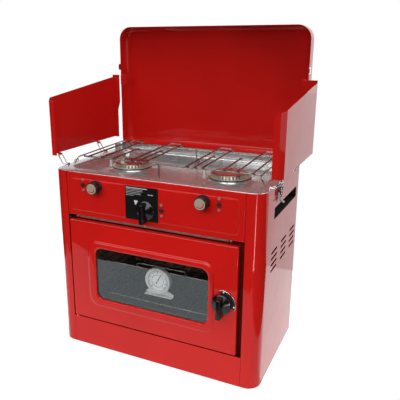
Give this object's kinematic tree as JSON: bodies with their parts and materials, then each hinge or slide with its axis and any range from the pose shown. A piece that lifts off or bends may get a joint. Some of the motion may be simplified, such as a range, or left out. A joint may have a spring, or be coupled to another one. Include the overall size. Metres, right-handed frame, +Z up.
{
  "type": "camping stove with oven",
  "caption": "Camping gas stove with an oven below: burners under a wire pot grate, hinged lid, folding side windscreens, glazed oven door, knobs, igniter buttons and lid latches.",
  "frame": {"origin": "middle of the base on the floor, halfway between the sides and between the front and rear panel", "axes": "+X to the right seen from the front, +Y to the back, +Z up"},
  "size_m": [0.56, 0.3818, 0.765],
  "materials": {
    "red_paint": "gloss",
    "bare_steel": "satin",
    "cooktop_steel": "satin",
    "chrome": "polished",
    "brass": "satin",
    "burner_alloy": "cast",
    "oven_enamel": "gloss",
    "black_knob": "gloss",
    "black_plastic": "matte",
    "plate_black": "satin",
    "window_glass": "clear",
    "seal_rubber": "matte",
    "dial_white": "satin",
    "ceramic": "glazed"
  },
  "bodies": {
    "body": {"side_left": "red_paint", "side_right": "red_paint", "rear_panel": "red_paint", "lower_front": "red_paint", "control_panel": "red_paint", "hinge_brackets": "red_paint", "base_plate": "bare_steel", "oven_frame": "bare_steel", "heat_plate": "bare_steel", "mixers": "bare_steel", "oven_burner": "bare_steel", "cooktop": "cooktop_steel", "grate": "chrome", "racks": "chrome", "screen_lugs": "chrome", "igniter_screws": "chrome", "latch_bases": "chrome", "thermometer_case": "chrome", "door_brackets": "chrome", "burner_caps": "brass", "valves": "brass", "gas_inlet": "brass", "manifold": "brass", "burner_bases": "burner_alloy", "oven_liner": "oven_enamel", "slot_cups": "black_plastic", "igniters": "black_plastic", "control_plate": "plate_black", "thermometer_dial": "dial_white", "electrodes": "ceramic"},
    "lid": {"lid": "red_paint", "hinge_leaves": "chrome", "lid_catches": "chrome"},
    "windscreen_left": {"screen_left": "red_paint", "screen_links_left": "chrome"},
    "windscreen_right": {"screen_right": "red_paint", "screen_links_right": "chrome"},
    "oven_door": {"door_skin": "red_paint", "window_bezel": "red_paint", "door_glass": "window_glass", "glass_retainer": "bare_steel", "door_inner": "bare_steel", "door_seal": "seal_rubber", "door_pins": "chrome", "escutcheon": "black_plastic"},
    "door_latch": {"door_knob": "black_knob", "door_cam": "chrome"},
    "burner_knob_left": {"knob_left": "black_knob", "knob_left_cap": "chrome"},
    "burner_knob_right": {"knob_right": "black_knob", "knob_right_cap": "chrome"},
    "oven_knob": {"knob_oven": "black_knob"},
    "igniter_left": {"button_left": "black_plastic"},
    "igniter_middle": {"button_middle": "black_plastic"},
    "igniter_right": {"button_right": "black_plastic"},
    "lever_left": {"latch_lever_left": "chrome"},
    "lever_right": {"latch_lever_right": "chrome"},
    "bail_left": {"latch_bail_left": "chrome"},
    "bail_right": {"latch_bail_right": "chrome"}
  },
  "joints": [
    {"name": "lid_close", "type": "hinge", "parent": "body", "child": "lid", "pos_m": [0, 0.171, 0.446], "axis": [1, 0, 0], "range_deg": [0, 90]},
    {"name": "windscreen_left_fold", "type": "hinge", "parent": "body", "child": "windscreen_left", "pos_m": [-0.252, 0, 0.4435], "axis": [0, 1, 0], "range_deg": [0, 90]},
    {"name": "windscreen_right_fold", "type": "hinge", "parent": "body", "child": "windscreen_right", "pos_m": [0.252, 0, 0.4435], "axis": [0, -1, 0], "range_deg": [0, 90]},
    {"name": "oven_door_open", "type": "hinge", "parent": "body", "child": "oven_door", "pos_m": [-0.211, -0.139, 0.2], "axis": [0, 0, -1], "range_deg": [0, 100]},
    {"name": "door_knob_turn", "type": "hinge", "parent": "oven_door", "child": "door_latch", "pos_m": [0.172, -0.15, 0.192], "axis": [0, -1, 0], "range_deg": [0, 90]},
    {"name": "knob_left_turn", "type": "hinge", "parent": "body", "child": "burner_knob_left", "pos_m": [-0.134, -0.155, 0.4125], "axis": [0, -1, 0], "range_deg": [0, 180]},
    {"name": "knob_right_turn", "type": "hinge", "parent": "body", "child": "burner_knob_right", "pos_m": [0.127, -0.155, 0.4125], "axis": [0, -1, 0], "range_deg": [0, 180]},
    {"name": "oven_knob_turn", "type": "hinge", "parent": "body", "child": "oven_knob", "pos_m": [-0.008, -0.155, 0.375], "axis": [0, -1, 0], "range_deg": [0, 240]},
    {"name": "igniter_left_press", "type": "slide", "parent": "body", "child": "igniter_left", "axis": [0, 1, 0], "range_m": [0, 0.003], "stiffness_N_per_m": 600, "springref_m": -0.002},
    {"name": "igniter_middle_press", "type": "slide", "parent": "body", "child": "igniter_middle", "axis": [0, 1, 0], "range_m": [0, 0.003], "stiffness_N_per_m": 600, "springref_m": -0.002},
    {"name": "igniter_right_press", "type": "slide", "parent": "body", "child": "igniter_right", "axis": [0, 1, 0], "range_m": [0, 0.003], "stiffness_N_per_m": 600, "springref_m": -0.002},
    {"name": "lever_left_lift", "type": "hinge", "parent": "body", "child": "lever_left", "pos_m": [-0.2586, -0.044, 0.428], "axis": [0, 1, 0], "range_deg": [0, 115]},
    {"name": "lever_right_lift", "type": "hinge", "parent": "body", "child": "lever_right", "pos_m": [0.2586, -0.044, 0.428], "axis": [0, -1, 0], "range_deg": [0, 115]},
    {"name": "bail_left_swing", "type": "hinge", "parent": "lever_left", "child": "bail_left", "pos_m": [-0.2615, -0.044, 0.417], "axis": [0, 1, 0], "range_deg": [-161, 0]},
    {"name": "bail_right_swing", "type": "hinge", "parent": "lever_right", "child": "bail_right", "pos_m": [0.2615, -0.044, 0.417], "axis": [0, -1, 0], "range_deg": [-161, 0]}
  ],
  "couplings": [
    {"joint": "bail_left_swing", "follows": "lever_left_lift", "ratio": -1.4},
    {"joint": "bail_right_swing", "follows": "lever_right_lift", "ratio": -1.4}
  ]
}
